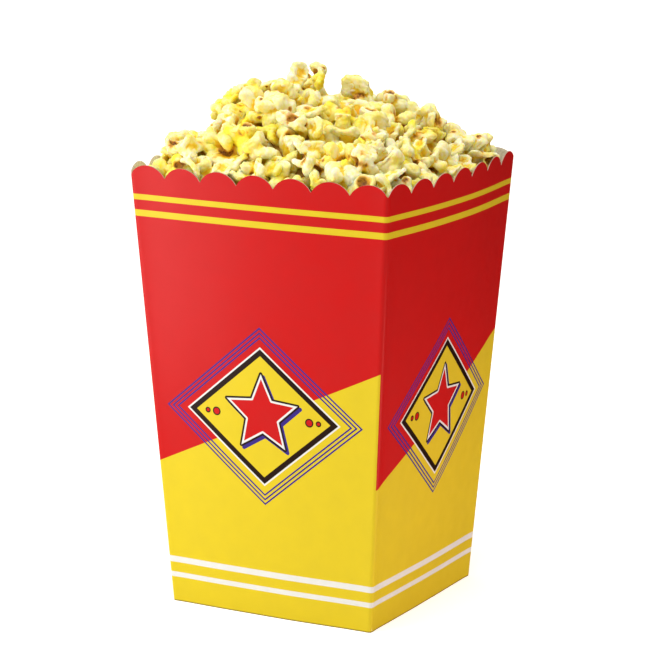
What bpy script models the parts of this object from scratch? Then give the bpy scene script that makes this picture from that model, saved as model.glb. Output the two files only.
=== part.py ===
"""A filled popcorn carton: a tapered square card box with a scalloped rim, and the popped corn heaped in it.

Metres, +Z up. The origin is on the floor under the middle of the carton. The front panel faces -Y.
"""

import math
import random

import bmesh
import bpy
from mathutils import Euler, Vector

# The card carton
HEIGHT = 0.265  # from the floor to the notches between the scallops
BASE_HALF = 0.0677  # half the width at the floor
RIM_HALF = 0.0852  # half the width at the notches
BOARD = 0.0006  # thickness of the card
SCALLOPS = 7  # on each panel
SCALLOP_RISE = 0.0071  # from a notch to the top of its scallop
SCALLOP_STEPS = 6  # straight edges that make one scallop's arc
BAND_LEVELS = (0.0, 0.9)  # rows of the wall under the rim, as shares of HEIGHT

# How far the filling bows each panel outwards at its middle: at the floor, and at the notches
BOW_FRONT = (0.0020, 0.0030)
BOW_SIDE = (0.0009, 0.0069)

# The heap of popped corn
GAP = 0.0003  # between the corn and the card
WALL_LEVEL = HEIGHT - 0.002  # height of the flakes' centres along the wall
SHOULDER = 0.0245  # how far they rise from the wall to the heap's flat shoulder
SHOULDER_POWER = 5  # how squarely that fills the carton
PEAK = 0.0300  # how far they rise again to the heap's peak
PEAK_AT = (-0.014, 0.002)
PEAK_SPREAD = 0.056
PEAK_POWER = 3.4
CORE_DEPTH = 0.004  # from the flakes' centres down to the core that they are fused to
CORE_POWER = 3  # how squarely the core's own shoulder fills the carton, so that it stays behind the flakes
WALL_BAND = 0.007  # flakes this near the wall, apart from those in the corners, lie lower than the rest
WALL_DROP = 0.008
CORE_GRID = 8  # cuts along each edge of the core
FLAKES = 98
FLAKE_REACH = (0.0098, 0.0135)  # from a flake's centre to its furthest lobe
LOBE = (0.82, 1.0)  # how far a flake's lobes and hollows stand from its centre, as shares of its reach
HOLLOW = (0.62, 0.80)
STRETCH = (0.80, 1.0)  # a flake's other two reaches, as shares of its longest
DRAWS = 250  # places tried for each flake
SEED = 10

# Places where the heap stands higher or lower: x, y, height and spread
LUMPS = (
    (-0.072, -0.072, 0.005, 0.014),
    (-0.066, -0.036, -0.007, 0.014),
    (0.003, 0.002, -0.009, 0.010),
    (-0.010, -0.008, 0.006, 0.010),
    (0.027, 0.015, -0.005, 0.012),
    (0.056, 0.030, 0.006, 0.012),
    (0.072, 0.072, 0.009, 0.014),
)


def half_width(z):
    """Half the carton's outer width at a height, between its corners."""
    return BASE_HALF + (RIM_HALF - BASE_HALF) * z / HEIGHT


def bow(z, along, panel):
    """How far a panel stands out of the plane through its corners; along is -1 at one corner and 1 at the other."""
    low, high = BOW_FRONT if panel in ("front", "back") else BOW_SIDE
    return (low + (high - low) * z / HEIGHT) * (1 - along * along)


def wall_point(panel, along, z, inset=0.0):
    """A point of a panel's outer face, or inset metres inside it."""
    across = half_width(z) - inset
    out = across + bow(z, along, panel)
    return {
        "front": Vector((along * across, -out, z)),
        "right": Vector((out, along * across, z)),
        "back": Vector((-along * across, out, z)),
        "left": Vector((-out, -along * across, z)),
    }[panel]


def scallop(share):
    """Height above the notches at a share of the way along one scallop: a circular arc between two cusps."""
    chord = 2 * RIM_HALF / SCALLOPS
    radius = (chord * chord / 4 + SCALLOP_RISE**2) / (2 * SCALLOP_RISE)
    offset = (share - 0.5) * chord
    return math.sqrt(radius * radius - offset * offset) - radius + SCALLOP_RISE


def material(name, colour, roughness):
    made = bpy.data.materials.new(name)
    made.use_nodes = True
    shader = made.node_tree.nodes["Principled BSDF"]
    shader.inputs["Base Color"].default_value = (*colour, 1)
    shader.inputs["Roughness"].default_value = roughness
    shader.inputs["Metallic"].default_value = 0
    return made


def new_object(name, bm, collection, finish=None):
    mesh = bpy.data.meshes.new(name)
    bm.to_mesh(mesh)
    bm.free()
    made = bpy.data.objects.new(name, mesh)
    collection.objects.link(made)
    if finish:
        mesh.materials.append(finish)
    return made


def make_carton(collection, finish):
    """The folded card: one sheet wrapped round four panels, closed by the floor, with the thickness of the board."""
    steps = SCALLOPS * SCALLOP_STEPS
    panels = ("front", "right", "back", "left")
    columns = steps * len(panels)
    bm = bmesh.new()
    bmesh.ops.create_grid(bm, x_segments=columns, y_segments=len(BAND_LEVELS), size=1)
    for vert in bm.verts:
        column = round((vert.co.x + 1) / 2 * columns) % columns
        row = round((vert.co.y + 1) / 2 * len(BAND_LEVELS))
        panel = panels[column // steps]
        step = column % steps
        if row < len(BAND_LEVELS):
            z = BAND_LEVELS[row] * HEIGHT
        else:
            z = HEIGHT + scallop(step % SCALLOP_STEPS / SCALLOP_STEPS)
        vert.co = wall_point(panel, 2 * step / steps - 1, z)
    bmesh.ops.remove_doubles(bm, verts=bm.verts, dist=1e-6)
    floor_edges = [e for e in bm.edges if e.is_boundary and all(v.co.z == 0 for v in e.verts)]
    bmesh.ops.contextual_create(bm, geom=floor_edges)
    bmesh.ops.recalc_face_normals(bm, faces=bm.faces)
    carton = new_object("carton", bm, collection, finish)
    board = carton.modifiers.new("board", "SOLIDIFY")
    board.thickness = BOARD
    board.offset = -1
    board.use_even_offset = True
    board.use_quality_normals = True
    return carton


def heap_level(x, y, squareness=SHOULDER_POWER):
    """Height of the flakes' centres over a point of the floor."""
    room = half_width(HEIGHT)
    shoulder = 1.0
    for value in (x, y):
        shoulder *= 1 - min(1.0, abs(value) / room) ** squareness
    reach = math.hypot(x - PEAK_AT[0], y - PEAK_AT[1])
    level = WALL_LEVEL + SHOULDER * shoulder + PEAK * math.exp(-((reach / PEAK_SPREAD) ** PEAK_POWER))
    for at_x, at_y, height, spread in LUMPS:
        distance = (x - at_x) ** 2 + (y - at_y) ** 2
        level += height * math.exp(-distance / (2 * spread * spread))
    return level


def make_core(collection, finish):
    """The corn inside: a block that fills the carton to the walls, with the heap's dome for its top."""
    inset = BOARD + GAP
    bm = bmesh.new()
    bmesh.ops.create_cube(bm, size=2)
    bmesh.ops.subdivide_edges(bm, edges=bm.edges, cuts=CORE_GRID, use_grid_fill=True)
    for vert in bm.verts:
        along, across, height = vert.co
        rim_x = along * (half_width(HEIGHT) - inset)
        rim_y = across * (half_width(HEIGHT) - inset)
        top = heap_level(rim_x, rim_y, CORE_POWER) - CORE_DEPTH
        z = inset + (top - inset) * (height + 1) / 2
        half = half_width(min(z, HEIGHT)) - inset
        side = bow(min(z, HEIGHT), across, "right") * along
        front = bow(min(z, HEIGHT), along, "front") * across
        vert.co = Vector((along * half + side, across * half + front, z))
    bmesh.ops.dissolve_limit(bm, angle_limit=math.radians(1), verts=bm.verts, edges=bm.edges)
    bmesh.ops.triangulate(bm, faces=bm.faces)
    bmesh.ops.recalc_face_normals(bm, faces=bm.faces)
    return new_object("popcorn", bm, collection, finish)


def flake_places():
    """Where the flakes lie, as (centre, reaches, turn): each goes to the roomiest of the corners and many drawn places."""
    draw = random.Random(SEED)
    places = []
    for index in range(FLAKES):
        reach = FLAKE_REACH[1] + (FLAKE_REACH[0] - FLAKE_REACH[1]) * index / FLAKES
        room = half_width(HEIGHT) - BOARD - GAP - reach
        best, best_space = None, -1.0
        corners = [(a * room, b * room) for a in (-1, 1) for b in (-1, 1)]
        drawn = [(draw.uniform(-room, room), draw.uniform(-room, room)) for _ in range(DRAWS)]
        for x, y in corners + drawn:
            centre = Vector((x, y, heap_level(x, y)))
            if room - WALL_BAND < max(abs(x), abs(y)) < room:
                centre.z -= WALL_DROP
            space = min(((centre - other).length for other, *_ in places), default=1.0)
            if space > best_space:
                best, best_space = centre, space
        best.z += draw.uniform(-0.002, 0.002)
        turn = Euler([draw.uniform(0, 2 * math.pi) for _ in range(3)])
        stretch = Vector((1, draw.uniform(*STRETCH), draw.uniform(*STRETCH)))
        places.append((best, reach * stretch, turn))
    return places


def make_flake(number, place, collection):
    """One flake with few sides: a ball whose corners where five edges meet are its lobes, with hollows between them."""
    centre, reaches, turn = place
    draw = random.Random(SEED + number)
    bm = bmesh.new()
    bmesh.ops.create_icosphere(bm, subdivisions=2, radius=1)
    for vert in bm.verts:
        low, high = LOBE if len(vert.link_edges) == 5 else HOLLOW
        vert.co *= draw.uniform(low, high)
    flake = new_object(f"flake_{number:03d}", bm, collection)
    flake.scale = reaches
    flake.rotation_euler = turn
    flake.location = centre
    return flake


def islands(bm):
    """The mesh's connected pieces, as lists of faces."""
    left, found = set(bm.faces), []
    while left:
        stack, piece = [left.pop()], []
        while stack:
            face = stack.pop()
            piece.append(face)
            for edge in face.edges:
                for other in edge.link_faces:
                    if other in left:
                        left.remove(other)
                        stack.append(other)
        found.append(piece)
    return found


def keep_largest_piece(mesh):
    """Fills the hollows that fusing sealed and drops loose scraps, by keeping the one outer surface."""
    bm = bmesh.new()
    bm.from_mesh(mesh)
    pieces = sorted(islands(bm), key=lambda faces: sum(f.calc_area() for f in faces))
    for faces in pieces[:-1]:
        bmesh.ops.delete(bm, geom=faces, context="FACES")
    bmesh.ops.triangulate(bm, faces=bm.faces)
    bm.to_mesh(mesh)
    bm.free()


def make_popcorn(collection, flakes, finish):
    """The heap: the core with the flakes that show on it, fused into one solid."""
    popcorn = make_core(collection, finish)
    for number, place in enumerate(flake_places()):
        make_flake(number, place, flakes)
    union = popcorn.modifiers.new("fuse", "BOOLEAN")
    union.operation = "UNION"
    union.operand_type = "COLLECTION"
    union.collection = flakes
    union.solver = "EXACT"
    seen = popcorn.evaluated_get(bpy.context.evaluated_depsgraph_get())
    fused = bpy.data.meshes.new_from_object(seen)
    popcorn.modifiers.clear()
    popcorn.data = fused
    fused.name = "popcorn"
    keep_largest_piece(fused)
    for flake in list(flakes.objects):
        bpy.data.objects.remove(flake)
    bpy.data.collections.remove(flakes)
    return popcorn


def main():
    for old in list(bpy.data.objects):
        bpy.data.objects.remove(old)
    parts = bpy.data.collections.new("popcorn_carton")
    flakes = bpy.data.collections.new("flakes")
    for collection in (parts, flakes):
        bpy.context.scene.collection.children.link(collection)
    make_carton(parts, material("printed_card", (0.75, 0.03, 0.025), 0.4))
    make_popcorn(parts, flakes, material("popped_corn", (0.88, 0.76, 0.35), 0.7))


main()
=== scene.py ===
"""Looks of the filled popcorn carton: the printed card, its cut edges, and 240 separate popped flakes.

Metres, +Z up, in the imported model's frame. The front panel, the photograph's wide left one, faces -Y.
"""

import math
import random

import bmesh
import bpy
import numpy as np
from mathutils import Matrix, Vector, noise


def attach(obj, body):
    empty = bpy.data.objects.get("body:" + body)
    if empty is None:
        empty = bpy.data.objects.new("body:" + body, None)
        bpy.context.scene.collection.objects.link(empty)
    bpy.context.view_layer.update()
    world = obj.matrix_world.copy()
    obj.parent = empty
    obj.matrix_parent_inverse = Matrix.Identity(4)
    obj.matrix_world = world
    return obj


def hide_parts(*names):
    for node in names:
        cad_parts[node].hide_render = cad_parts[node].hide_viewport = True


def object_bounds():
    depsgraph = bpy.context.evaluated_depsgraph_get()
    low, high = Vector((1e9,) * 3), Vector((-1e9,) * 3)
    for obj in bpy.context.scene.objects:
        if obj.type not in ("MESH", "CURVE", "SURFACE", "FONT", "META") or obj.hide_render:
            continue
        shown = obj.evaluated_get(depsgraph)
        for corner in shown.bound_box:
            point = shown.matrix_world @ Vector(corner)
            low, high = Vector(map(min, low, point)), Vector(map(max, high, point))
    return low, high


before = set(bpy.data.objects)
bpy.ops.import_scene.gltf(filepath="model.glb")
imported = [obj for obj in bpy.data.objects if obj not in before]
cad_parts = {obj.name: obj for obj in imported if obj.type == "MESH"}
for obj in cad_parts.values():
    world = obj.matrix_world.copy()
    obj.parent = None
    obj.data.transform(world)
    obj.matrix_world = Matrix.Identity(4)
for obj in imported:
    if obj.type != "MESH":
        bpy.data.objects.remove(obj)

CAD_BOX = [[float(v) for v in corner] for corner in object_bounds()]

# The carton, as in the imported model
HEIGHT = 0.265  # from the floor to the notches between the scallops
BASE_HALF = 0.0677
RIM_HALF = 0.0852
SCALLOPS = 7
SCALLOP_RISE = 0.0071
BOW_FRONT = (0.0020, 0.0030)  # how far a panel bows out at its middle, at the floor and at the notches
BOW_SIDE = (0.0009, 0.0069)
BOARD = 0.0006

# Finer points of the card
PANELS = 4
FOLD_RADIUS = 0.0029
FOLD_OUT = 0.0011  # how much further out the panels would meet if their folds were sharp
FOLD_SHARES = (1 - math.sqrt(0.5), 0.42, 0.6, 0.8, 1.0)  # where the columns lie across half a fold
CORNER_DIP = 0.0012  # the notches at the corners are a little deeper
CORNER_DIP_WIDTH = 0.003
COLUMNS = 15 * SCALLOPS  # on each panel
FOOT_ROW = 0.0015  # height of the lowest row
LOWER_ROWS = 22
UPPER_ROWS = 8
RIM_FROM = 0.225  # rows above this height bend to follow the scallops
RIPPLE = 0.00022  # how far the card's slight waves stand from true
SHARP = math.radians(40)  # edges of the card that turn by more than this are sharp

# The print, in metres across from a panel's middle and up from the floor
YELLOW_STRIPES = ((0.2410, 0.2449), (0.2510, 0.2544))
WHITE_STRIPES = ((0.0158, 0.0190), (0.0253, 0.0291))
SLANT_LEFT = 0.089  # height of the line between red and yellow at a panel's left and right ends
SLANT_RIGHT = 0.161
BADGE_Z = 0.126
BADGE_HALF = (0.0655, 0.0550)
STAR = 0.0250  # from the star's middle to its points
STAR_FATNESS = 0.46  # from its middle to its inner corners, as a share of that
STAR_UP = 0.0015
STAR_SHADOW = 0.0016  # how far its shadow lies to the right of it and below it
STAR_OUTLINE = 0.0012
BADGE_LINES = ((-0.0010, 0.0), (-0.0032, -0.0022), (-0.0054, -0.0044))  # from its edge inwards
DOTS = ((0.0310, 0.0027), (0.0370, 0.0018))  # place to each side of the star, and radius
DOT_OUTLINE = 0.0008
EDGE_SOFTNESS = 0.00012

RED = (0.485, 0.0030, 0.0030)
YELLOW = (0.615, 0.46, 0.012)
WHITE = (0.65, 0.64, 0.63)
NAVY = (0.035, 0.020, 0.20)
DARK = (0.020, 0.008, 0.005)
FOOT_SHADE = (0.11, 0.070, 0.012)  # painted shade: a dark line along the very foot of the card, where it meets the floor
RAW_BOARD = (0.62, 0.57, 0.47)
RAW_BOARD_PALE = (0.80, 0.77, 0.69)
CUT_DARK = (0.40, 0.27, 0.20)
CUT_PALE = (0.54, 0.42, 0.33)

# The corn, from its palest skin to its hulls; the crease colours are painted shade
PALE = (0.86, 0.835, 0.70)
CREAM = (0.86, 0.805, 0.36)
BUTTER = (0.86, 0.72, 0.040)
# painted shade: the flakes' hollows and creases, and flakes deep in the heap, take these darker golden tones;
# the deeper one also rims the hulls
CREASE_SHADE = (0.89, 0.66, 0.018)
DEEP_SHADE_AND_HULL_RIM = (0.80, 0.41, 0.008)
HULL_LIGHT = (0.56, 0.25, 0.022)
HULL_DARK = (0.16, 0.045, 0.004)
# painted shade: the core below the flakes is coloured as corn in shadow
CORE_SHADE_DARK = (0.36, 0.17, 0.02)
CORE_SHADE_LIGHT = (0.62, 0.38, 0.06)

# The heap's top surface
WALL_TOP = 0.272
SHOULDER = 0.0240
SHOULDER_POWER = 6
PEAK = 0.0265
PEAK_AT = (-0.014, 0.002)
PEAK_SPREAD = 0.056
PEAK_POWER = 3.4

# The corn below the flakes
CORE_STEPS = 36
CORE_DEPTH = 0.019  # from the heap's top surface down to it
CORE_BOTTOM = 0.22
CORE_INSET = 0.004  # from the card's outer face at the rim, before it is shrunk
CORE_SHRINK = 0.97
CORE_LUMPS = 0.003

# The camera of the photograph, round the carton from the front panel
AZIMUTH = math.radians(28.06)
ELEVATION = math.radians(11.84)
ROLL = math.radians(0.32)
DISTANCE = 1.783
TARGET = Vector((0, 0, 0.1675))
LENS = 161.0
SENSOR = 36

# Places where the heap stands higher or lower: x, y, height and spread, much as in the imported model
LUMPS = (
    (-0.072, -0.072, 0.005, 0.014),
    (-0.066, -0.036, -0.007, 0.014),
    (0.003, 0.002, -0.012, 0.010),
    (-0.010, -0.008, 0.006, 0.010),
    (0.027, 0.015, -0.005, 0.012),
    (0.056, 0.030, 0.006, 0.012),
    (0.072, 0.072, 0.009, 0.014),
)

# The heap's skyline, read off the photograph: to the right of the heap's axis, and height at the axis
SKYLINE = (
    (-0.112, 0.264),
    (-0.106, 0.269),
    (-0.101, 0.279),
    (-0.095, 0.287),
    (-0.074, 0.287),
    (-0.070, 0.303),
    (-0.058, 0.314),
    (-0.048, 0.318),
    (-0.044, 0.323),
    (-0.040, 0.316),
    (-0.024, 0.321),
    (-0.021, 0.3296),
    (-0.012, 0.3296),
    (-0.010, 0.320),
    (-0.008, 0.3296),
    (-0.001, 0.3296),
    (0.001, 0.309),
    (0.007, 0.310),
    (0.010, 0.320),
    (0.018, 0.323),
    (0.026, 0.318),
    (0.029, 0.310),
    (0.038, 0.3135),
    (0.052, 0.3065),
    (0.060, 0.3025),
    (0.063, 0.3065),
    (0.067, 0.3035),
    (0.071, 0.296),
    (0.080, 0.293),
    (0.085, 0.285),
    (0.100, 0.287),
    (0.104, 0.285),
    (0.107, 0.279),
    (0.109, 0.268),
    (0.112, 0.262),
)

# The flakes that make it: how far each stands to the right of the axis as the camera sees it, and behind it,
# its radius and its kind
OUTLINE_FLAKES = (
    (-0.1030, -0.031, 0.0080, "small"),
    (-0.0935, -0.017, 0.0105, "cupped"),
    (-0.0800, 0.004, 0.0105, "cluster"),
    (-0.0630, 0.004, 0.0115, "butterfly"),
    (-0.0450, 0.006, 0.0110, "folded"),
    (-0.0310, 0.000, 0.0110, "butterfly"),
    (-0.0168, 0.000, 0.0095, "curled"),
    (-0.0055, 0.003, 0.0095, "curled"),
    (0.0175, 0.004, 0.0120, "folded"),
    (0.0375, 0.006, 0.0110, "cluster"),
    (0.0510, 0.004, 0.0110, "butterfly"),
    (0.0640, 0.000, 0.0095, "cupped"),
    (0.0765, 0.004, 0.0105, "cluster"),
    (0.0880, 0.008, 0.0080, "small"),
    (0.0975, 0.025, 0.0095, "cupped"),
)
TRIES = 220  # turns tried for each of them
SHIFT = 0.003  # how far each may lie to the side of its place
LIFT_SHARE = 40  # the percentile of a flake's outline that is brought up to the skyline

# All the flakes
FLAKES = 240
RIM_FLAKES = 44  # of them, that lie along the card
INNER_FLAKES = 72  # of them, that lie under the gaps between the rest
FLAKE_RADIUS = (0.0102, 0.0138)
SMALL_RADIUS = (0.0064, 0.0080)
WIDTH = 2.1  # a flake's widest side, as a share of its radius
HULLS_OUT = 0.40  # share of the flakes whose hull is turned out of the heap
TURNS = 7  # drawn for each flake, to choose from
PLACES = 60  # drawn for each outer flake
INNER_PLACES = 200
SETTLING = 90  # rounds in which the outer flakes push each other apart
CLOSENESS = 0.80  # how far apart neighbours lie, as a share of their radii
SINK = 0.006  # how far a flake may sink below its highest place
LAYER = 0.010  # from the outer flakes' centres down to the inner ones'
DEEP_FROM = 0.005  # this far below the heap's top a flake starts to take painted shade, more golden
DEEP_TO = 0.020  # and from here down it is most so
DEPTH_SHADE = 0.40  # painted shade there: how much more crease shade, and how much more golden yellow, it takes
DEPTH_SHADE_YELLOW = 0.45
BUTTER_ACROSS = ((-0.06, 0.45), (-0.01, 0.45), (0.04, 0.20))  # to the right of the axis, and the mean there
BUTTER_SPREAD = 0.26
CLEAR = 0.0005  # between the flakes and the card
BOX_CLEAR = 0.0004  # between the flakes and the sides of the CAD's own box
SCALLOP_CLEAR = 0.0006  # above the scallops, where the flakes may lean out
SEED = 11

# How a flake is made
GOLDEN_TURN = 2.39996  # radians, which spread the lobes evenly over a ball
VOXEL = 0.00050
FLAKE_TRIANGLES = 3600
WARP = 0.0015  # how far its shape is pulled about
BROAD, FOLD, FINE = 0.00050, 0.00045, 0.00006  # heights of its skin's swellings, folds and grain
CREASE_ROUNDS = 16  # of smoothing, against which its hollows are measured
CREASE_DEPTH = 0.0016
SPECKS = 1  # scraps of hull on each flake
SPECK = (0.0008, 0.0020)

# The lights round the object: name, azimuth from -Y towards +X, elevation, distance, size, power and colour
WARM = (1, 0.62, 0.56)
COOL = (0.94, 1, 1)
NEUTRAL = (1, 1, 1)
AREA_LIGHTS = (
    ("key", -46, 32, 1.2, 0.8, 6.5, COOL),
    ("side", -47, -5, 0.55, 0.3, 1.15, COOL),
    ("bounce", 92, -26, 0.33, 0.20, 0.40, WARM),
    ("crown", 75, 68, 0.50, 0.25, 0.30, NEUTRAL),
)
OVERHEAD = (30, 80, 60, 2.05)  # azimuth, elevation, spread and strength
SURROUND = (1, 0.94, 0.74, 1)
SURROUND_STRENGTH = 0.38
FLOOR_SIZE = 40
FLOOR_GLOW = (1, 0.88, 0.84, 1)
FLOOR_GLOW_STRENGTH = 0.40


def add_object(name, data):
    made = bpy.data.objects.new(name, data)
    bpy.context.scene.collection.objects.link(made)
    return made


def way_to(azimuth, elevation):
    """The direction to an azimuth, from -Y towards +X, and an elevation, both in radians."""
    level = math.cos(elevation)
    return Vector((math.sin(azimuth) * level, -math.cos(azimuth) * level, math.sin(elevation)))


def half_width(z):
    """Half the carton's outer width at a height, between its corners."""
    return BASE_HALF + (RIM_HALF - BASE_HALF) * z / HEIGHT


def bow(z, along, panel):
    """How far a panel stands out of the plane through its corners; along is -1 at one and 1 at the other."""
    low, high = BOW_FRONT if panel in (0, 2) else BOW_SIDE
    return (low + (high - low) * z / HEIGHT) * (1 - along * along)


def rim_height(along):
    """Top of the card at a place along a panel, from -1 at its left end to 1 at its right."""
    chord = 2 * RIM_HALF / SCALLOPS
    radius = (chord * chord / 4 + SCALLOP_RISE**2) / (2 * SCALLOP_RISE)
    share = (along + 1) / 2 * SCALLOPS % 1.0
    offset = (share - 0.5) * chord
    rise = math.sqrt(radius * radius - offset * offset) - radius + SCALLOP_RISE
    corner = (1 - abs(along)) * RIM_HALF
    return HEIGHT + rise - CORNER_DIP * max(0.0, 1 - corner / CORNER_DIP_WIDTH)


def card_point(panel, along, z):
    """A point of the card's outer face, with its folded corners rounded and its panels slightly rippled."""
    half = half_width(z) + FOLD_OUT
    corner = (1 - abs(along)) * half
    inward = 0.0
    if corner < FOLD_RADIUS:
        sine = 1 - corner / FOLD_RADIUS
        inward = FOLD_RADIUS * (1 - math.sqrt(max(0.0, 1 - sine * sine)))
    calm = 1 - along**6
    wave = noise.noise(Vector((along * 2.2 + panel * 7, z * 11, panel * 3.1)))
    out = half + bow(z, along, panel) - inward + RIPPLE * calm * wave - FOLD_OUT * (1 - along**12)
    across = along * half
    return ((across, -out, z), (out, across, z), (-across, out, z), (-out, -across, z))[panel]


def panel_columns():
    """Places along a panel from its left corner up to, but not with, its right one."""
    corner = FOLD_RADIUS / half_width(HEIGHT * 0.6)
    folds = [-1 + corner * share for share in FOLD_SHARES]
    even = [-1 + 2 * step / COLUMNS for step in range(1, COLUMNS)]
    even = [along for along in even if abs(along) < 1 - corner * 1.2]
    return folds + even + [-along for along in folds[:0:-1]]


def row_heights(top):
    """Heights of the card's rows, up to a top that follows the scallops."""
    below = [FOOT_ROW + (RIM_FROM - FOOT_ROW) * step / LOWER_ROWS for step in range(1, LOWER_ROWS + 1)]
    above = [RIM_FROM + (top - RIM_FROM) * step / UPPER_ROWS for step in range(1, UPPER_ROWS + 1)]
    return [0.0, FOOT_ROW] + below + above


def make_card():
    """The carton's card: one sheet round the four panels with a floor, given the board's thickness."""
    bm = bmesh.new()
    place = bm.loops.layers.float_vector.new("print_place")
    rings = []
    for panel in range(PANELS):
        for along in panel_columns():
            heights = row_heights(rim_height(along))
            rings.append((panel, along, [bm.verts.new(card_point(panel, along, z)) for z in heights]))
    count = len(rings)
    for index in range(count):
        panel, along, left = rings[index]
        next_panel, next_along, right = rings[(index + 1) % count]
        if next_panel != panel:
            next_along = -next_along
        for row in range(len(left) - 1):
            face = bm.faces.new((left[row], right[row], right[row + 1], left[row + 1]))
            face.smooth = True
            for loop, where in zip(face.loops, (along, next_along, next_along, along)):
                z = loop.vert.co.z
                loop[place] = Vector((where * half_width(z), z, panel))
    base = bm.faces.new([column[0] for _, _, column in reversed(rings)])
    base.material_index = 1
    bmesh.ops.recalc_face_normals(bm, faces=bm.faces)
    mesh = bpy.data.meshes.new("printed_card")
    bm.to_mesh(mesh)
    bm.free()
    card = add_object("printed_card", mesh)
    for material in (printed_material(), raw_board_material(), cut_edge_material()):
        mesh.materials.append(material)
    board = card.modifiers.new("board", "SOLIDIFY")
    board.thickness = BOARD
    board.offset = -1
    board.use_even_offset = True
    board.use_quality_normals = True
    board.material_offset = 1
    board.material_offset_rim = 2
    card.data = evaluated(card)
    card.data.name = "printed_card"
    card.modifiers.clear()
    card.data.set_sharp_from_angle(angle=SHARP)
    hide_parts("carton")
    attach(card, "root")


class Graph:
    """Short names for building a material's nodes."""

    def __init__(self, name):
        self.material = bpy.data.materials.new(name)
        self.material.use_nodes = True
        self.tree = self.material.node_tree
        self.shader = self.tree.nodes["Principled BSDF"]

    def node(self, kind, inputs=None, **settings):
        made = self.tree.nodes.new(kind)
        for key, value in settings.items():
            setattr(made, key, value)
        for key, value in (inputs or {}).items():
            self.put(made.inputs[key], value)
        return made

    def put(self, socket, value):
        if isinstance(value, bpy.types.NodeSocket):
            self.tree.links.new(value, socket)
        else:
            socket.default_value = value

    def math(self, operation, *values, clamp=False):
        made = self.node("ShaderNodeMath", operation=operation, use_clamp=clamp)
        for socket, value in zip(made.inputs, values):
            self.put(socket, value)
        return made.outputs[0]

    def mix(self, share, low, high):
        made = self.node("ShaderNodeMix", data_type="RGBA")
        for socket, value in ((made.inputs[0], share), (made.inputs[6], low), (made.inputs[7], high)):
            self.put(socket, (*value, 1) if isinstance(value, tuple) else value)
        return made.outputs[2]

    def noise(self, scale, detail=2.0, roughness=0.5):
        place = self.node("ShaderNodeTexCoord").outputs["Object"]
        inputs = {"Vector": place, "Scale": scale, "Detail": detail, "Roughness": roughness}
        return self.node("ShaderNodeTexNoise", inputs).outputs["Fac"]

    def ramp(self, value, low, high, out_low=0.0, out_high=1.0):
        made = self.node("ShaderNodeMapRange", clamp=True)
        for socket, number in zip(made.inputs, (value, low, high, out_low, out_high)):
            self.put(socket, number)
        return made.outputs[0]

    def attribute(self, name):
        return self.node("ShaderNodeAttribute", attribute_name=name).outputs["Vector"]

    def bump(self, height, distance, strength):
        made = self.node("ShaderNodeBump", {"Height": height, "Distance": distance, "Strength": strength})
        return made.outputs[0]

    def finish(self, **sockets):
        for key, value in sockets.items():
            socket = self.shader.inputs[key.replace("_", " ")]
            self.put(socket, (*value, 1) if isinstance(value, tuple) and socket.type == "RGBA" else value)
        return self.material


def star_distance(g, x, y, radius, fatness):
    """Distance to a five-pointed star's edge, below 0 inside; folds the plane on its symmetry lines."""
    side, up = math.cos(math.radians(36)), math.sin(math.radians(36))
    x = g.math("ABSOLUTE", x)
    for across in (side, -side):
        dot = g.math("MULTIPLY_ADD", x, across, g.math("MULTIPLY", y, -up))
        push = g.math("MULTIPLY", g.math("MAXIMUM", dot, 0.0), -2.0)
        x = g.math("MULTIPLY_ADD", push, across, x)
        y = g.math("MULTIPLY_ADD", push, -up, y)
    x = g.math("ABSOLUTE", x)
    y = g.math("SUBTRACT", y, radius)
    edge = (fatness * up, fatness * side - 1)
    length = math.hypot(*edge)
    along = g.math("ADD", g.math("MULTIPLY", x, edge[0]), g.math("MULTIPLY", y, edge[1]))
    along = g.math("DIVIDE", along, length * length)
    along = g.math("MINIMUM", g.math("MAXIMUM", along, 0.0), radius)
    off_x = g.math("MULTIPLY_ADD", along, -edge[0], x)
    off_y = g.math("MULTIPLY_ADD", along, -edge[1], y)
    far = g.math("SQRT", g.math("ADD", g.math("POWER", off_x, 2.0), g.math("POWER", off_y, 2.0)))
    turn = g.math("SUBTRACT", g.math("MULTIPLY", y, edge[0]), g.math("MULTIPLY", x, edge[1]))
    return g.math("MULTIPLY", far, g.math("SIGN", turn))


def inside(g, distance, edge=0.0):
    """1 where a distance is under an edge, with a printed edge's softness."""
    return g.math("MULTIPLY_ADD", g.math("SUBTRACT", distance, edge), -1 / EDGE_SOFTNESS, 0.5, clamp=True)


def band(g, value, low, high):
    """1 where a value lies between two others, with the same softness."""
    middle, reach = (low + high) / 2, (high - low) / 2
    return inside(g, g.math("ABSOLUTE", g.math("SUBTRACT", value, middle)), reach)


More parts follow.
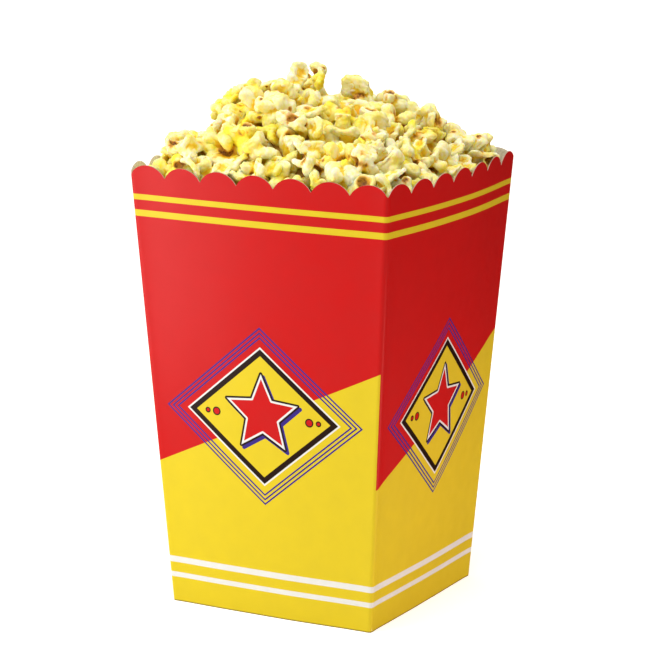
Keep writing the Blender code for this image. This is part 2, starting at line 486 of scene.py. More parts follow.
def printed_material():
    """The outer face: red over yellow on a slant, stripes at the rim and the foot, and a plain star badge."""
    g = Graph("printed_card")
    place = g.node("ShaderNodeSeparateXYZ", {0: g.attribute("print_place")})
    x, z, panel = place.outputs
    rise = (SLANT_RIGHT - SLANT_LEFT) / (half_width(SLANT_RIGHT) + half_width(SLANT_LEFT))
    level = SLANT_LEFT + rise * half_width(SLANT_LEFT)
    slant = g.math("SUBTRACT", g.math("MULTIPLY_ADD", x, rise, level), z)
    colour = g.mix(inside(g, slant), YELLOW, RED)
    for low, high in YELLOW_STRIPES:
        colour = g.mix(band(g, z, low, high), colour, YELLOW)
    for low, high in WHITE_STRIPES:
        colour = g.mix(band(g, z, low, high), colour, WHITE)

    up = g.math("SUBTRACT", z, BADGE_Z)
    wide, high = BADGE_HALF
    slope = wide * high / math.hypot(wide, high)
    share_x = g.math("MULTIPLY", g.math("ABSOLUTE", x), 1 / wide)
    share = g.math("ADD", share_x, g.math("MULTIPLY", g.math("ABSOLUTE", up), 1 / high))
    badge = g.math("MULTIPLY", g.math("SUBTRACT", share, 1.0), slope)
    for low, high in BADGE_LINES:
        colour = g.mix(band(g, badge, low, high), colour, NAVY)
    for edge, ink in ((-0.0092, WHITE), (-0.0102, DARK), (-0.0134, YELLOW)):
        colour = g.mix(inside(g, badge, edge), colour, ink)
    for side in (-1, 1):
        for reach, size in DOTS:
            off = g.math("SUBTRACT", x, side * reach)
            dot = g.math("SQRT", g.math("ADD", g.math("POWER", off, 2.0), g.math("POWER", up, 2.0)))
            colour = g.mix(inside(g, dot, size), colour, DARK)
            colour = g.mix(inside(g, dot, size - DOT_OUTLINE), colour, RED)
    high = g.math("SUBTRACT", up, STAR_UP)
    shadow_x, shadow_high = g.math("SUBTRACT", x, STAR_SHADOW), g.math("ADD", high, STAR_SHADOW)
    shadow = star_distance(g, shadow_x, shadow_high, STAR, STAR_FATNESS)
    star = star_distance(g, x, high, STAR, STAR_FATNESS)
    colour = g.mix(inside(g, shadow, STAR_OUTLINE), colour, NAVY)
    for edge, ink in ((STAR_OUTLINE, DARK), (0.0, WHITE), (-STAR_OUTLINE, RED)):
        colour = g.mix(inside(g, star, edge), colour, ink)

    mottle = g.noise(95.0, 3.0)
    colour = g.mix(g.math("MULTIPLY", mottle, 0.10), colour, DARK)
    from_fold = fold_distance(g, x, z)
    seam = g.math("MULTIPLY", band(g, panel, 1.5, 2.5), g.ramp(from_fold, 0.0026, 0.0030, 1.0, 0.0))
    seam = g.math("MULTIPLY", seam, g.ramp(from_fold, 0.0021, 0.0025))
    seam = g.math("MULTIPLY", seam, g.math("GREATER_THAN", x, 0.0))
    colour = g.mix(seam, colour, RAW_BOARD)
    # painted shade along the foot of the card, where it meets the floor
    foot = g.ramp(z, 0.0003, 0.0010, 0.85, 0.0)
    colour = g.mix(foot, colour, FOOT_SHADE)
    wear = g.math("MULTIPLY", g.ramp(g.noise(900.0, 4.0, 0.7), 0.50, 0.72), fold_line(g, x, z))
    colour = g.mix(g.math("MULTIPLY", wear, 0.12), colour, WHITE)
    fibre = g.noise(1500.0, 3.0, 0.6)
    roughness = g.math("ADD", g.ramp(mottle, 0.3, 0.7, 0.30, 0.36), g.math("MULTIPLY", wear, 0.25))
    g.shader.inputs["Specular IOR Level"].default_value = 0.14
    return g.finish(Base_Color=colour, Roughness=roughness, Normal=g.bump(fibre, 0.00003, 0.35))


def fold_distance(g, x, z):
    """How far a place on a panel is from the nearer of its folded corners."""
    half = g.math("MULTIPLY_ADD", z, (RIM_HALF - BASE_HALF) / HEIGHT, BASE_HALF)
    return g.math("SUBTRACT", half, g.math("ABSOLUTE", x))


def fold_line(g, x, z):
    """1 along the folded corners, falling to 0 within a millimetre of them."""
    return g.ramp(fold_distance(g, x, z), 0.0001, 0.0009, 1.0, 0.0)


def raw_board_material():
    g = Graph("raw_board")
    fibre = g.noise(700.0, 4.0, 0.65)
    colour = g.mix(g.ramp(fibre, 0.35, 0.65), RAW_BOARD, RAW_BOARD_PALE)
    return g.finish(Base_Color=colour, Roughness=0.85, Normal=g.bump(fibre, 0.00006, 0.5))


def cut_edge_material():
    g = Graph("cut_edge")
    fibre = g.noise(1800.0, 3.0, 0.7)
    colour = g.mix(g.ramp(fibre, 0.3, 0.7), CUT_DARK, CUT_PALE)
    return g.finish(Base_Color=colour, Roughness=0.9)


def corn_material():
    """Popped corn, from its vertices: x is hull, y runs from swellings to creases, z is butter; both y and z
    rise deeper in the heap, which is painted shade, as are the crease colours.
    """
    g = Graph("popped_corn")
    tone = g.node("ShaderNodeSeparateXYZ", {0: g.attribute("tone")})
    hull, curve, butter = tone.outputs
    fine = g.noise(430.0, 3.0, 0.6)
    patch = g.noise(125.0, 2.0)
    wide = g.noise(38.0, 1.0)
    soaked = g.math("ADD", g.ramp(patch, 0.40, 0.68, -0.15, 0.55), g.ramp(wide, 0.35, 0.65, -0.2, 0.25))
    soaked = g.math("MULTIPLY_ADD", butter, 0.6, soaked, clamp=True)
    cream = g.mix(g.ramp(fine, 0.35, 0.65), CREAM, PALE)
    colour = g.mix(soaked, cream, BUTTER)
    # painted shade: hollows and creases, and flakes deep in the heap, are coloured darker and more golden
    deep = g.ramp(curve, 0.42, 0.66)
    colour = g.mix(g.math("MULTIPLY", deep, 0.92), colour, CREASE_SHADE)
    colour = g.mix(g.ramp(curve, 0.68, 0.98, 0.0, 0.75), colour, DEEP_SHADE_AND_HULL_RIM)
    brown = g.mix(g.ramp(fine, 0.38, 0.60), HULL_DARK, HULL_LIGHT)
    colour = g.mix(g.ramp(hull, 0.10, 0.45, 0.0, 0.8), colour, DEEP_SHADE_AND_HULL_RIM)
    colour = g.mix(g.ramp(hull, 0.38, 0.72), colour, brown)
    rough = g.ramp(fine, 0.3, 0.7, 0.40, 0.60)
    pits = g.noise(1100.0, 2.0, 0.5)
    bump = g.bump(g.math("ADD", g.math("MULTIPLY", fine, 0.7), g.math("MULTIPLY", pits, 0.3)), 0.00035, 0.5)
    g.shader.inputs["Subsurface Radius"].default_value = (1.0, 0.65, 0.20)
    g.shader.inputs["Subsurface Scale"].default_value = 0.0032
    g.shader.inputs["Specular IOR Level"].default_value = 0.30
    return g.finish(Base_Color=colour, Roughness=rough, Normal=bump, Subsurface_Weight=0.65)


def core_material():
    g = Graph("corn_core")
    # painted shade: the core is coloured as corn in shadow, dark orange-brown
    fine = g.noise(260.0, 3.0, 0.6)
    colour = g.mix(g.ramp(fine, 0.35, 0.65), CORE_SHADE_DARK, CORE_SHADE_LIGHT)
    return g.finish(Base_Color=colour, Roughness=0.7, Normal=g.bump(fine, 0.0006, 0.7))


def heap_top(x, y):
    """Height of the heap's top surface, over one place or over arrays of them."""
    shoulder = 1.0
    for value in (x, y):
        shoulder = shoulder * (1 - np.minimum(1.0, abs(value) / RIM_HALF) ** SHOULDER_POWER)
    reach = np.hypot(x - PEAK_AT[0], y - PEAK_AT[1])
    top = WALL_TOP + SHOULDER * shoulder + PEAK * np.exp(-((reach / PEAK_SPREAD) ** PEAK_POWER))
    for at_x, at_y, height, spread in LUMPS:
        top = top + height * np.exp(-((x - at_x) ** 2 + (y - at_y) ** 2) / (2 * spread * spread))
    return top


def blob(bm, centre, radii, axis):
    """A rounded lobe of the flake: an ellipsoid whose longest radius lies along an axis."""
    turn = Vector(axis).to_track_quat("Z", "Y").to_matrix().to_4x4()
    shape = Matrix.Translation(centre) @ turn @ Matrix.Diagonal((*radii, 1))
    bmesh.ops.create_icosphere(bm, subdivisions=3, radius=1, matrix=shape)


def petal(bm, draw, start, way, length, width, thickness, curl, cup=0.0):
    """A curved, flattened lobe that swells from a start along a way and bends to one side.

    Returns the dent that cups the side it bends to, as (centre, way out, radius, depth, share of hull).
    """
    heading = Vector(way).normalized()
    side = heading.orthogonal().normalized()
    side.rotate(Matrix.Rotation(draw.uniform(0, 2 * math.pi), 3, heading))
    steps = 5
    bend = Matrix.Rotation(curl / steps, 3, side)
    at = Vector(start)
    middle = at
    for step in range(steps):
        share = step / (steps - 1)
        swell = 0.60 + 0.32 * share + 0.26 * math.sin(math.pi * share)
        swell *= draw.uniform(0.92, 1.08)
        turn = Matrix((side, heading.cross(side), heading)).transposed().to_4x4()
        size = Matrix.Diagonal((width * swell, thickness * swell, length / steps * 1.05, 1))
        bmesh.ops.create_icosphere(bm, subdivisions=3, radius=1, matrix=Matrix.Translation(at) @ turn @ size)
        heading = (bend @ heading).normalized()
        at = at + heading * (length / steps)
        if step == 2:
            middle = at
    inward = side.cross(heading) * (1 if curl > 0 else -1)
    return (middle, -inward, width * 0.95, thickness * cup, 0.0)


def even_directions(count, draw, wobble=0.35):
    """Directions spread over a sphere, each moved a little."""
    found = []
    start = draw.uniform(0, 2 * math.pi)
    for index in range(count):
        z = 1 - 2 * (index + 0.5) / count
        turn = start + index * GOLDEN_TURN
        flat = math.sqrt(1 - z * z)
        way = Vector((flat * math.cos(turn), flat * math.sin(turn), z))
        way += Vector([draw.uniform(-wobble, wobble) for _ in range(3)])
        found.append(way.normalized())
    return found


def round_ways(count, draw, lift):
    """Directions evenly round the z axis, each lifted by a drawn amount."""
    start = draw.uniform(0, 2 * math.pi)
    for index in range(count):
        turn = start + 2 * math.pi * (index + draw.uniform(-0.2, 0.2)) / count
        yield Vector((math.cos(turn), math.sin(turn), draw.uniform(*lift)))


def butterfly(bm, draw):
    """Three or four broad petals that spread from a brown hull."""
    dents = [(Vector((0, 0, -0.0032)), Vector((0, 0, -1)), 0.0040, 0.0034, 1.0)]
    blob(bm, (0, 0, 0.0004), (0.0044, 0.0042, 0.0036), (0, 0, 1))
    for way in round_ways(draw.choice((3, 4)), draw, (-0.1, 0.9)):
        length, width = draw.uniform(0.0090, 0.0125), draw.uniform(0.0050, 0.0068)
        thickness, curl = draw.uniform(0.0022, 0.0030), draw.uniform(0.5, 1.6)
        dents.append(petal(bm, draw, way * 0.0015, way, length, width, thickness, curl, 0.9))
    for way in round_ways(2, draw, (0.4, 1.6)):
        blob(bm, way.normalized() * 0.0044, (0.0030, 0.0032, 0.0038), way)
    return dents


def cupped(bm, draw):
    """A ring of lobes round a deep brown hollow, with a rounded back."""
    blob(bm, (0, 0, -0.0012), (0.0064, 0.0056, 0.0044), (0, 0, 1))
    for way in round_ways(draw.choice((4, 5)), draw, (0.0, 0.5)):
        out, size = draw.uniform(0.0052, 0.0064), draw.uniform(0.0032, 0.0044)
        radii = (size * 0.8, size, size * draw.uniform(1.0, 1.3))
        blob(bm, way * out, radii, way + Vector((0, 0, draw.uniform(0, 2))))
    dents = [(Vector((0, 0, 0.0018)), Vector((0, 0, 1)), 0.0050, 0.0064, 1.0)]
    for way in round_ways(2, draw, (-1.5, -0.3)):
        start, length, curl = way.normalized() * 0.002, draw.uniform(0.0070, 0.0105), draw.uniform(0.3, 1.4)
        dents.append(petal(bm, draw, start, way, length, 0.0050, 0.0032, curl, 0.7))
    return dents


def cluster(bm, draw):
    """A knobbly ball of several lobes."""
    blob(bm, (0, 0, 0), (0.0050, 0.0050, 0.0050), (0, 0, 1))
    ways = even_directions(draw.choice((5, 6, 7)), draw)
    for way in ways:
        size, out = draw.uniform(0.0038, 0.0056), draw.uniform(0.0046, 0.0064)
        lean = way + Vector([draw.uniform(-1, 1) for _ in range(3)])
        blob(bm, way * out, (size, size * draw.uniform(0.65, 0.95), size * draw.uniform(1.0, 1.4)), lean)
    return [
        (ways[1] * 0.0045, ways[1], 0.0034, 0.0036, 1.0),
        (ways[4] * 0.0050, ways[4], 0.0030, 0.0026, 0.0),
    ]


def curled(bm, draw):
    """One long curved wing, a shorter one behind it, and small lobes at their root."""
    blob(bm, (0, 0, 0), (0.0042, 0.0036, 0.0036), (0, 0, 1))
    dents = [(Vector((0, 0, -0.0030)), Vector((0, 0, -1)), 0.0034, 0.0030, 1.0)]
    length, curl = draw.uniform(0.0125, 0.0155), draw.uniform(0.8, 1.6)
    dents.append(petal(bm, draw, (0, 0, 0), (1, 0, 0.5), length, 0.0058, 0.0028, curl, 0.8))
    length, curl = draw.uniform(0.0080, 0.0105), draw.uniform(0.4, 1.3)
    dents.append(petal(bm, draw, (0, 0, 0), (-1, 0.2, 0.4), length, 0.0056, 0.0028, curl, 0.8))
    for way in round_ways(2, draw, (-1.0, -0.2)):
        blob(bm, way.normalized() * draw.uniform(0.0038, 0.0050), (0.0034, 0.0028, 0.0040), way)
    return dents


def folded(bm, draw):
    """Two broad halves with a deep fold between them, and a hull behind."""
    dents = [(Vector((0, 0, -0.0040)), Vector((0, 0.3, -1)), 0.0036, 0.0036, 1.0)]
    for side in (-1, 1):
        lean = Vector((side * 0.6, draw.uniform(-0.3, 0.3), 1))
        start = Vector((side * 0.0026, 0, -0.0015))
        length, curl = draw.uniform(0.0080, 0.0105), draw.uniform(0.3, 1.0)
        dents.append(petal(bm, draw, start, lean, length, 0.0068, 0.0031, curl, 0.9))
        blob(bm, (side * 0.0052, draw.uniform(-0.003, 0.003), -0.0015), (0.0036, 0.0040, 0.0032), (1, 0, 0))
    for way in round_ways(2, draw, (-1.2, -0.2)):
        blob(bm, way.normalized() * 0.0054, (0.0036, 0.0030, 0.0040), way)
    return dents


def small(bm, draw):
    """A small flake of a few short lobes."""
    blob(bm, (0, 0, 0), (0.0038, 0.0038, 0.0036), (0, 0, 1))
    dents = [(Vector((0, 0, 0.0026)), Vector((0.2, 0, 1)), 0.0032, 0.0030, 1.0)]
    for way in even_directions(draw.choice((4, 5)), draw, 0.5):
        length, width = draw.uniform(0.0042, 0.0068), draw.uniform(0.0034, 0.0044)
        dents.append(petal(bm, draw, way * 0.0012, way, length, width, 0.0026, draw.uniform(0.4, 1.5), 0.5))
    return dents


KINDS = (
    ("butterfly", butterfly, 5),
    ("cupped", cupped, 4),
    ("cluster", cluster, 3),
    ("curled", curled, 4),
    ("folded", folded, 4),
    ("small", small, 3),
)


def evaluated(obj):
    """The object's mesh with its modifiers applied."""
    seen = obj.evaluated_get(bpy.context.evaluated_depsgraph_get())
    return bpy.data.meshes.new_from_object(seen)


def vectors_of(mesh, name):
    """A vector for each vertex, as an array."""
    values = np.empty(len(mesh.vertices) * 3)
    mesh.vertices.foreach_get(name, values)
    return values.reshape(-1, 3)


def whole_numbers(items, name, columns):
    """A property of whole numbers for each item, as an array."""
    values = np.empty(len(items) * columns, dtype=np.int32)
    items.foreach_get(name, values)
    return values.reshape(-1, columns)


def neighbour_mean(points, edges):
    """For each point, the mean of the points that its edges lead to."""
    total = np.zeros_like(points)
    count = np.zeros(len(points))
    for a, b in ((0, 1), (1, 0)):
        np.add.at(total, edges[:, a], points[edges[:, b]])
        np.add.at(count, edges[:, a], 1)
    return total / np.maximum(count, 1)[:, None]


def roughen(points, normals, shift):
    """Folds and swellings of the flake's skin."""
    for index, (point, normal) in enumerate(zip(points, normals)):
        at = Vector(point)
        broad = noise.noise(at * 210 + shift)
        fold = max(0.0, 1 - abs(noise.noise(at * 300 - shift)) * 7)
        fine = noise.noise(at * 900 + shift)
        points[index] += normal * (BROAD * broad - FOLD * fold + FINE * fine)


def make_flake(name, shape, seed):
    """One flake as (points, triangles, tones): its lobes fused, warped and creased, about its own centre."""
    draw = random.Random(seed)
    bm = bmesh.new()
    dents = shape(bm, draw)
    shift = Vector([draw.uniform(-5, 5) for _ in range(3)])
    for vert in bm.verts:
        vert.co += WARP * noise.noise_vector(vert.co * 150 + shift)
    mesh = bpy.data.meshes.new(name)
    bm.to_mesh(mesh)
    bm.free()
    obj = add_object(name, mesh)
    fuse = obj.modifiers.new("fuse", "REMESH")
    fuse.mode = "VOXEL"
    fuse.voxel_size = VOXEL
    soften = obj.modifiers.new("soften", "SMOOTH")
    soften.factor = 0.5
    soften.iterations = 4
    fused = evaluated(obj)
    points, normals = vectors_of(fused, "co"), vectors_of(fused, "normal")
    hulls = []
    for centre, way, radius, depth, hull_share in dents:
        centre, way = np.array(centre), np.array(way.normalized())
        offset = points - centre
        along = offset @ way
        off_axis = np.linalg.norm(offset - along[:, None] * way, axis=1)
        facing = np.clip(along / 0.0012 + 0.8, 0, 1) * (along < 2 * radius)
        near = np.clip(1 - (off_axis / radius) ** 2, 0, 1) ** 1.3 * facing
        points -= way * (near * depth)[:, None]
        if hull_share and (near > 0.7).any():
            hulls.append((points[near > 0.7].mean(0), radius))
    roughen(points, normals, shift)
    fused.vertices.foreach_set("co", points.ravel())
    fused.update()
    obj.modifiers.clear()
    obj.data = fused
    fewer = obj.modifiers.new("fewer", "DECIMATE")
    fewer.ratio = min(1.0, FLAKE_TRIANGLES / (2 * len(fused.polygons)))
    fewer.use_collapse_triangulate = True
    final = evaluated(obj)
    bpy.data.objects.remove(obj)
    points, normals = vectors_of(final, "co"), vectors_of(final, "normal")
    final.calc_loop_triangles()
    triangles = whole_numbers(final.loop_triangles, "vertices", 3)
    edges = whole_numbers(final.edges, "vertices", 2)
    smooth = points.copy()
    for _ in range(CREASE_ROUNDS):
        smooth = neighbour_mean(smooth, edges)
    hollow = ((smooth - points) * normals).sum(1)
    # how hollow each place is, which the material turns into painted crease shade
    curve = np.clip(0.5 + hollow / CREASE_DEPTH, 0, 1)
    hull = np.zeros(len(points))
    hulls += [(points[draw.randrange(len(points))], draw.uniform(*SPECK)) for _ in range(SPECKS)]
    for floor, radius in hulls:
        ragged = np.array([1 + 0.7 * noise.noise(Vector(point) * 380 + shift) for point in points])
        reach = np.linalg.norm(points - floor, axis=1) / (radius * draw.uniform(0.75, 1.1)) * ragged
        hull = np.maximum(hull, np.clip(1.5 - reach * 1.2, 0, 1))
    tones = np.stack([hull, curve, np.zeros(len(points))], 1)
    points -= (points.max(0) + points.min(0)) / 2
    return points, triangles, tones


def within_card(x, y, radius):
    """A flake's place, moved inwards where it would press into the card."""
    room = RIM_HALF - BOARD - radius * 0.8
    reach_x = room + bow(HEIGHT, y / RIM_HALF, 1)
    reach_y = room + bow(HEIGHT, x / RIM_HALF, 0)
    return min(max(x, -reach_x), reach_x), min(max(y, -reach_y), reach_y)


def settle(draw):
    """Where the flakes lie, as (centre, radius, kind).

    The outline's own come first, then the outer ones, pushed apart evenly, then the inner ones under gaps.
    """
    right = np.array((math.cos(AZIMUTH), math.sin(AZIMUTH)))
    away = np.array((-math.sin(AZIMUTH), math.cos(AZIMUTH)))
    names = [name for name, *_ in KINDS]
    kinds = [kind for *_, kind in OUTLINE_FLAKES]
    fixed = len(kinds)
    rest = [names[index % len(names)] for index in range(FLAKES - fixed)]
    draw.shuffle(rest)
    kinds += rest
    ranges = [SMALL_RADIUS if kind == "small" else FLAKE_RADIUS for kind in kinds]
    radii = np.array([draw.uniform(*ends) for ends in ranges])
    radii[:fixed] = [radius for *_, radius, _ in OUTLINE_FLAKES]
    places = np.zeros((FLAKES, 3))
    for index, (across, behind, *_) in enumerate(OUTLINE_FLAKES):
        places[index, :2] = right * across + away * behind
        places[index, 2] = skyline(across) - radii[index] * 0.9
    outer = FLAKES - INNER_FLAKES
    room = RIM_HALF - BOARD
    for index in range(fixed, outer):
        best, best_space = None, -1.0
        for _ in range(PLACES):
            x, y = (draw.uniform(-room, room) * 0.93 for _ in range(2))
            if index < fixed + RIM_FLAKES:
                outward = 1.2 * room / max(abs(x), abs(y))
                if abs(x) > abs(y):
                    x *= outward
                else:
                    y *= outward
            x, y = within_card(x, y, radii[index])
            place = np.array((x, y, heap_top(x, y) - radii[index]))
            space = np.linalg.norm(places[:index] - place, axis=1).min()
            if space > best_space:
                best, best_space = place, space
        places[index] = best
    upper, sizes = places[:outer], radii[:outer]
    for _ in range(SETTLING):
        gap = upper[:, None] - upper[None]
        far = np.linalg.norm(gap, axis=2) + np.eye(outer)
        push = np.clip((sizes[:, None] + sizes[None]) * CLOSENESS - far, 0, None) * (1 - np.eye(outer))
        move = (gap / far[..., None] * push[..., None]).sum(1) * 0.3
        move[:fixed] = 0
        upper += move
        for index in range(fixed, outer):
            x, y, z = places[index]
            x, y = within_card(x, y, radii[index])
            top = heap_top(x, y) - radii[index] * 0.9
            places[index] = x, y, min(max(z, top - SINK), top)
    for index in range(outer, FLAKES):
        best, best_space = None, -1.0
        for _ in range(INNER_PLACES):
            place = np.array([draw.uniform(-room, room) * 0.93 for _ in range(2)])
            space = (np.linalg.norm(places[:index, :2] - place, axis=1) - radii[:index] * 0.8).min()
            if space > best_space:
                best, best_space = place, space
        places[index] = *best, heap_top(*best) - radii[index] - LAYER
    return places, radii, kinds


def as_seen(points):
    """How far right of the axis points are as the camera sees them, and how high they look at the axis."""
    across = points[:, 0] * math.cos(AZIMUTH) + points[:, 1] * math.sin(AZIMUTH)
    behind = points[:, 1] * math.cos(AZIMUTH) - points[:, 0] * math.sin(AZIMUTH)
    rise = points[:, 2] - TARGET.z
    near = DISTANCE / (DISTANCE + behind * math.cos(ELEVATION) - rise * math.sin(ELEVATION))
    seen = (rise + behind * math.tan(ELEVATION)) * near
    return across * near, TARGET.z + seen / (1 + seen * math.sin(ELEVATION) / DISTANCE)


def skyline(across):
    """The skyline's height at a place, or at an array of them."""
    places, heights = zip(*SKYLINE)
    return np.interp(across, places, heights)


def gaps_to_skyline(points):
    """How far below the skyline a flake's own outline lies, for each millimetre of its width."""
    across, height = as_seen(points)
    columns = np.round((across - across.min()) / 0.001).astype(int)
    tops = np.full(columns.max() + 1, -1.0)
    np.maximum.at(tops, columns, height)
    gaps = skyline(across.min() + 0.001 * np.arange(len(tops))) - tops
    return gaps[1:-1]


def sized(points, radius):
    return points * (radius * WIDTH / np.ptp(points, axis=0).max())


def fit_to_skyline(draw, choices, radius, place):
    """The flake of its kind, and its turn, that best fill the skyline at a place."""
    best, best_misfit = None, 1.0
    right = np.array((math.cos(AZIMUTH), math.sin(AZIMUTH), 0))
    for _ in range(TRIES):
        points, triangles, tones = draw.choice(choices)
        points = sized(points, radius) @ np.array(random_turn(draw)).T
        points = keep_inside(points + place + right * draw.uniform(-SHIFT, SHIFT))
        points[:, 2] += np.percentile(gaps_to_skyline(points), LIFT_SHARE)
        points = keep_inside(points)
        misfit = np.abs(gaps_to_skyline(points)).mean()
        if misfit < best_misfit:
            best, best_misfit = (points, triangles, tones), misfit
    return best


def keep_inside(points):
    """Moves a placed flake so that it stays within the card and the CAD's own box."""
    high = np.array(CAD_BOX[1]) - BOX_CLEAR
    for axis in (0, 1):
        half = half_width(points[:, 2])
        along = np.clip(points[:, 1 - axis] / half, -1, 1)
        inside = half - BOARD - CLEAR + bow(np.minimum(points[:, 2], HEIGHT), along, 1 - axis)
        limit = np.where(points[:, 2] < HEIGHT + SCALLOP_RISE + SCALLOP_CLEAR, inside, high[axis])
        for side in (1, -1):
            over = (side * points[:, axis] - limit).max()
            if over > 0:
                points[:, axis] -= side * over
    low = points[points[:, 2] < HEIGHT + SCALLOP_RISE]
    for side in (1, -1):
        for other in (1, -1):
            if len(low):
                reach = (side * low[:, 0] + other * low[:, 1]).max()
                over = reach - 2 * (RIM_HALF - BOARD) + FOLD_RADIUS * 0.8
                points[:, :2] -= max(0.0, over) / 2 * np.array((side, other))
    points[:, 2] -= max(0.0, points[:, 2].max() - high[2])
    return points


def make_corn():
    """The flakes, one joined piece for each kind, and the core under them."""
    noise.seed_set(SEED)  # noise that gives vectors would otherwise start from the clock
    draw = random.Random(SEED)
    shapes = {}
    for number, (name, shape, count) in enumerate(KINDS):
        shapes[name] = [make_flake(name, shape, 50 * number + turn) for turn in range(count)]
    places, radii, kinds = settle(draw)
    corn = corn_material()
    for name, *_ in KINDS:
        all_points, all_triangles, all_tones, start = [], [], [], 0
        for index, (place, radius, kind) in enumerate(zip(places, radii, kinds)):
            if kind != name:
                continue
            if index < len(OUTLINE_FLAKES):
                points, triangles, tones = fit_to_skyline(draw, shapes[name], radius, place)
            else:
                points, triangles, tones = draw.choice(shapes[name])
                points = sized(points, radius) @ outward_turn(draw, points, tones, place).T + place
                points = keep_inside(points)
                points[:, 2] += min(0.0, gaps_to_skyline(points).min())
                points = keep_inside(points)
            all_points.append(points)
            all_triangles.append(triangles + start)
            tones = tones.copy()
            # painted shade: the further a flake's skin lies below the heap's top, the more crease shade and
            # golden yellow it takes
            depth = heap_top(points[:, 0], points[:, 1]) - points[:, 2]
            depth = np.clip((depth - DEEP_FROM) / (DEEP_TO - DEEP_FROM), 0, 1)
            side = place[0] * math.cos(AZIMUTH) + place[1] * math.sin(AZIMUTH)
            butter = draw.gauss(np.interp(side, *zip(*BUTTER_ACROSS)), BUTTER_SPREAD)
            tones[:, 1] = np.clip(tones[:, 1] + DEPTH_SHADE * depth, 0, 1)
            tones[:, 2] = np.clip(butter + DEPTH_SHADE_YELLOW * depth, 0, 1)
            all_tones.append(tones)
            start += len(points)
        add_flakes(f"flakes_{name}", all_points, all_triangles, all_tones, corn)
    make_core()


def random_turn(draw):
    axis = Vector([draw.gauss(0, 1) for _ in range(3)]).normalized()
    return Matrix.Rotation(draw.uniform(0, math.pi), 3, axis)


def outward_turn(draw, points, tones, place):
    """A drawn turn for a flake, which for some flakes brings the hull out of the heap."""
    turns = [np.array(random_turn(draw)) for _ in range(TURNS)]
    if draw.random() > HULLS_OUT:
        return turns[0]
    step = 0.004
    x, y = place[:2]
    slope = [heap_top(x - dx, y - dy) - heap_top(x + dx, y + dy) for dx, dy in ((step, 0), (0, step))]
    out = np.array((*slope, 2 * step))
    hull = points[tones[:, 0] > 0.6].mean(0)
    return max(turns, key=lambda turn: turn @ hull @ out)


def add_flakes(name, points, triangles, tones, material):
    """All the flakes of one kind, as one joined piece."""
    points = np.concatenate(points)
    triangles = np.concatenate(triangles)
    mesh = bpy.data.meshes.new(name)
    mesh.from_pydata(points.tolist(), [], triangles.tolist())
    tone = mesh.attributes.new("tone", "FLOAT_VECTOR", "POINT")
    tone.data.foreach_set("vector", np.concatenate(tones).astype(np.float32).ravel())
    mesh.polygons.foreach_set("use_smooth", [True] * len(mesh.polygons))
    mesh.materials.append(material)
    obj = add_object(name, mesh)
    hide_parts("popcorn")
    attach(obj, "root")


def make_core():
    """The corn below the flakes, coloured with painted shade: a closed block with a lumpy top."""
    bm = bmesh.new()
    bmesh.ops.create_cube(bm, size=2)
    bmesh.ops.subdivide_edges(bm, edges=bm.edges, cuts=CORE_STEPS, use_grid_fill=True)
    for vert in bm.verts:
        along, across, height = vert.co
        room = RIM_HALF - CORE_INSET
        x = along * (room + bow(HEIGHT, across, 1))
        y = across * (room + bow(HEIGHT, along, 0))
        top = heap_top(x, y) - CORE_DEPTH + CORE_LUMPS * noise.noise(Vector((x, y, 0)) * 110)
        z = CORE_BOTTOM + (top - CORE_BOTTOM) * (height + 1) / 2
        vert.co = Vector((x * CORE_SHRINK, y * CORE_SHRINK, z))
    mesh = bpy.data.meshes.new("corn_core")
    bm.to_mesh(mesh)
    bm.free()
    mesh.polygons.foreach_set("use_smooth", [True] * len(mesh.polygons))
    mesh.materials.append(core_material())
    core = add_object("corn_core", mesh)
    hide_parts("popcorn")
    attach(core, "root")


def make_camera():
    """The camera that took the photograph."""
    back = way_to(AZIMUTH, ELEVATION)
    level = Vector((math.cos(AZIMUTH), math.sin(AZIMUTH), 0))
    up = back.cross(level)
    right = math.cos(ROLL) * level + math.sin(ROLL) * up
    upright = -math.sin(ROLL) * level + math.cos(ROLL) * up
    data = bpy.data.cameras.new("camera")
    data.lens = LENS
    data.sensor_width = SENSOR
    data.sensor_fit = "HORIZONTAL"
    data.clip_end = 50
    camera = add_object("camera", data)
    turn = Matrix((right, upright, back)).transposed().to_4x4()
    camera.matrix_world = Matrix.Translation(TARGET + DISTANCE * back) @ turn
    bpy.context.scene.camera = camera


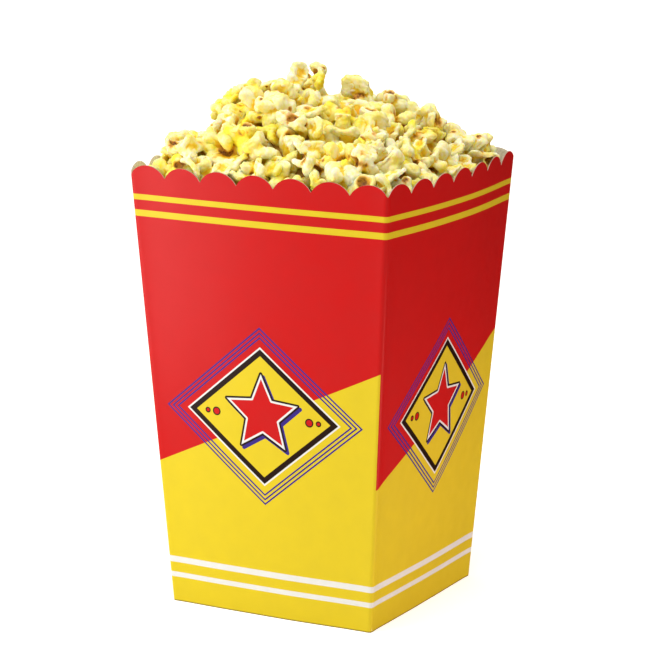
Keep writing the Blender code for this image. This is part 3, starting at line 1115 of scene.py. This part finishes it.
def area_light(name, azimuth, elevation, distance, size, power, colour):
    """A soft light round the object."""
    way = way_to(math.radians(azimuth), math.radians(elevation))
    data = bpy.data.lights.new(name, "AREA")
    data.shape = "SQUARE"
    data.size = size
    data.energy = power
    data.color = colour
    light = add_object(name, data)
    light.location = TARGET + way * distance
    light.rotation_euler = way.to_track_quat("Z", "Y").to_euler()
    light.visible_camera = False


def sun_light(name, azimuth, elevation, spread, strength):
    """A very soft light from far off."""
    way = way_to(math.radians(azimuth), math.radians(elevation))
    data = bpy.data.lights.new(name, "SUN")
    data.angle = math.radians(spread)
    data.energy = strength
    light = add_object(name, data)
    light.rotation_euler = way.to_track_quat("Z", "Y").to_euler()


def make_flag():
    """A dark card behind on the right, out of sight, that keeps light off the upper right of the object."""
    x, near, far, low, top = 0.45, -0.15, 0.75, 0.05, 0.33
    mesh = bpy.data.meshes.new("flag")
    mesh.from_pydata([(x, near, low), (x, far, low), (x, far, top), (x, near, top)], [], [(0, 1, 2, 3)])
    g = Graph("flag")
    mesh.materials.append(g.finish(Base_Color=(0.03, 0.03, 0.03), Roughness=0.9))
    flag = add_object("flag", mesh)
    flag.visible_camera = False


def make_stage():
    """A plain white floor, a white surround and soft studio light, strongest from the front panel's side."""
    bpy.ops.mesh.primitive_plane_add(size=FLOOR_SIZE)
    floor = bpy.context.object
    floor.name = "floor"
    g = Graph("floor")
    g.shader.inputs["Emission Color"].default_value = FLOOR_GLOW
    g.shader.inputs["Emission Strength"].default_value = FLOOR_GLOW_STRENGTH
    floor.data.materials.append(g.finish(Base_Color=(0.97, 0.97, 0.97), Roughness=0.9))
    floor.visible_glossy = False
    make_flag()
    world = bpy.data.worlds.new("surround")
    world.use_nodes = True
    world.node_tree.nodes["Background"].inputs["Color"].default_value = SURROUND
    world.node_tree.nodes["Background"].inputs["Strength"].default_value = SURROUND_STRENGTH
    bpy.context.scene.world = world
    world.cycles_visibility.glossy = False
    sun_light("overhead", *OVERHEAD)
    for settings in AREA_LIGHTS:
        area_light(*settings)
    bpy.context.scene.view_settings.view_transform = "Standard"


make_camera()
make_stage()
make_card()
make_corn()
